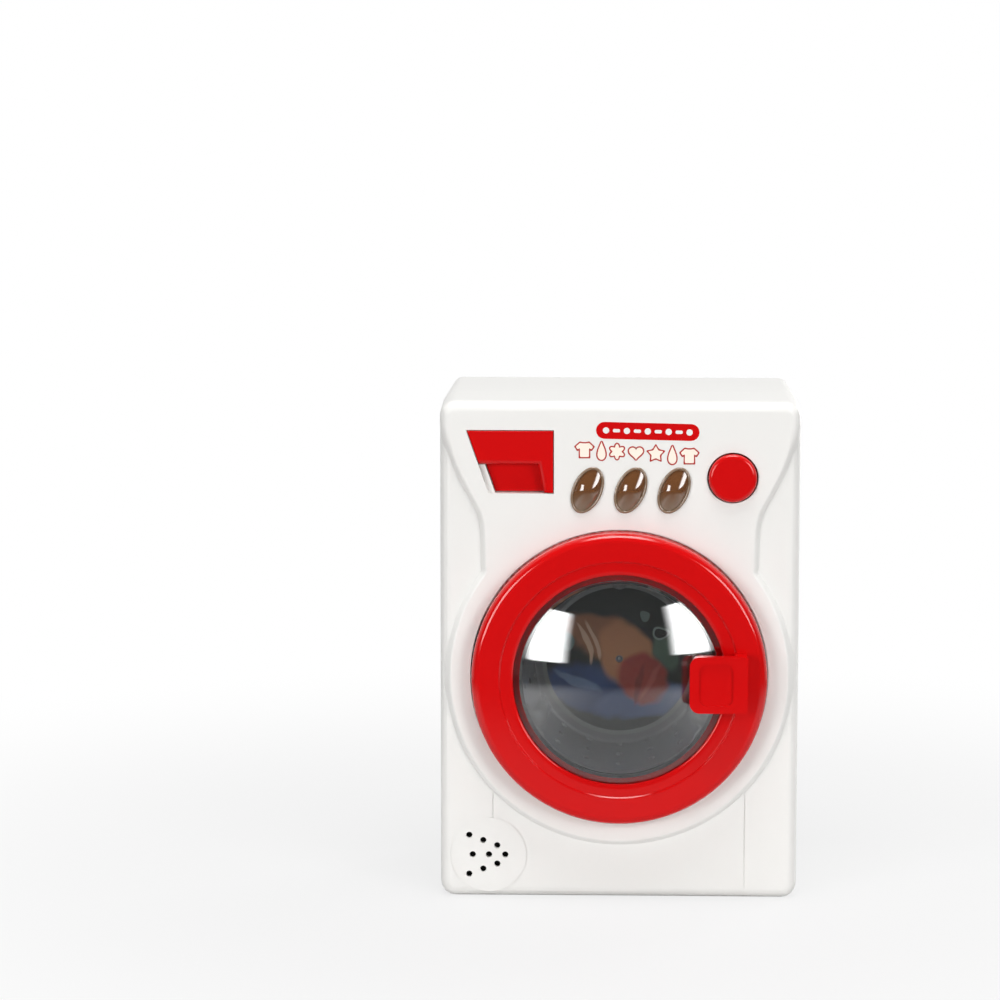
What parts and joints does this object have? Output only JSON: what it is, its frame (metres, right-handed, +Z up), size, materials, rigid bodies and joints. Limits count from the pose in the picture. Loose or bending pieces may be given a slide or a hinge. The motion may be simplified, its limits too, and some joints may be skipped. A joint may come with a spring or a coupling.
{
  "type": "toy washing machine",
  "caption": "Free-standing toy front-loading washing machine with a hinged round domed door, turning geared drum, push button, lamp lenses and a detergent drawer.",
  "frame": {"origin": "centre of the bounding box's footprint, on the surface the toy stands on", "axes": "+Z up, the door side faces -Y, +X to the right seen from the front"},
  "size_m": [0.17, 0.134, 0.24],
  "materials": {
    "white_abs": "glossy moulded ABS, white",
    "red_abs": "glossy moulded ABS, deep red",
    "clear_dome": "clear moulded polystyrene",
    "smoky_lens": "glossy translucent smoky brown",
    "grey_tub": "satin moulded plastic, dark grey",
    "grey_drum": "satin moulded plastic, grey",
    "picture_card": "printed card disc, matt lacquer",
    "screw_steel": "zinc-plated steel",
    "pin_steel": "bright steel wire and rod",
    "motor_can": "plated sheet steel",
    "bronze": "sintered bronze",
    "brass": "machined brass",
    "gear_nylon": "natural acetal, satin",
    "board_green": "fibreglass board with green solder mask",
    "led_white": "diffused epoxy",
    "switch_black": "black thermoplastic",
    "cone_paper": "coated paper",
    "cell_jacket": "plain sleeve over a steel can"
  },
  "bodies": {
    "casing": {"front_shell": "white_abs", "rear_shell": "white_abs", "shell_screws": "screw_steel", "drum_tub": "grey_tub", "tub_screws": "screw_steel", "drum_bush": "bronze", "gearbox_plate": "gear_nylon", "gearbox_cover": "gear_nylon", "gearbox_screws": "screw_steel", "gear_pins": "pin_steel", "motor": "motor_can", "control_board": "board_green", "lamp_leds": "led_white", "button_switch": "switch_black", "board_screws": "screw_steel", "lamp_lens_left": "smoky_lens", "lamp_lens_middle": "smoky_lens", "lamp_lens_right": "smoky_lens", "speaker_frame": "motor_can", "speaker_cone": "cone_paper", "speaker_clamp": "gear_nylon", "speaker_screws": "screw_steel", "drawer_sleeve": "white_abs", "sleeve_screws": "screw_steel", "battery_springs": "pin_steel", "battery_plates": "pin_steel", "battery_cells": "cell_jacket", "door_hinge_pin": "pin_steel", "button_spring": "pin_steel"},
    "door": {"door_ring": "red_abs", "door_window": "clear_dome", "door_back_ring": "red_abs", "door_handle": "red_abs", "door_screws": "screw_steel"},
    "drum": {"drum": "grey_drum", "drum_disc": "picture_card", "drum_shaft": "pin_steel", "drum_gear": "gear_nylon", "drum_screw": "screw_steel"},
    "second_gear": {"second_gear": "gear_nylon"},
    "first_gear": {"first_gear": "gear_nylon"},
    "pinion": {"motor_pinion": "brass", "motor_shaft": "pin_steel"},
    "button": {"start_button": "red_abs"},
    "drawer": {"detergent_drawer": "red_abs"},
    "lid": {"battery_cover": "white_abs", "battery_cover_screw": "screw_steel"}
  },
  "joints": [
    {"name": "drum_spin", "type": "hinge", "parent": "casing", "child": "drum", "pos_m": [0, -0.017, 0.1085], "axis": [0, 1, 0], "continuous": true},
    {"name": "second_gear_spin", "type": "hinge", "parent": "casing", "child": "second_gear", "pos_m": [0.015, 0.013, 0.1085], "axis": [0, 1, 0], "continuous": true},
    {"name": "first_gear_spin", "type": "hinge", "parent": "casing", "child": "first_gear", "pos_m": [0.0219, 0.013, 0.12045], "axis": [0, 1, 0], "continuous": true},
    {"name": "motor_spin", "type": "hinge", "parent": "casing", "child": "pinion", "pos_m": [0.0081, 0.013, 0.12045], "axis": [0, 1, 0], "continuous": true},
    {"name": "door_hinge", "type": "hinge", "parent": "casing", "child": "door", "pos_m": [-0.063, -0.051, 0.1085], "axis": [0, 0, -1], "range_deg": [0, 95]},
    {"name": "button_press", "type": "slide", "parent": "casing", "child": "button", "axis": [0, 1, 0], "range_m": [0, 0.0025], "stiffness_N_per_m": 300, "springref_m": -0.002, "deforming": ["button_spring"]},
    {"name": "drawer_slide", "type": "slide", "parent": "casing", "child": "drawer", "axis": [0, -1, 0], "range_m": [0, 0.034]},
    {"name": "lid_lift", "type": "slide", "parent": "casing", "child": "lid", "axis": [0, 1, 0], "range_m": [0, 0.025]}
  ],
  "couplings": [
    {"joint": "second_gear_spin", "follows": "drum_spin", "ratio": -4},
    {"joint": "first_gear_spin", "follows": "drum_spin", "ratio": 14.4},
    {"joint": "motor_spin", "follows": "drum_spin", "ratio": -51.84}
  ]
}
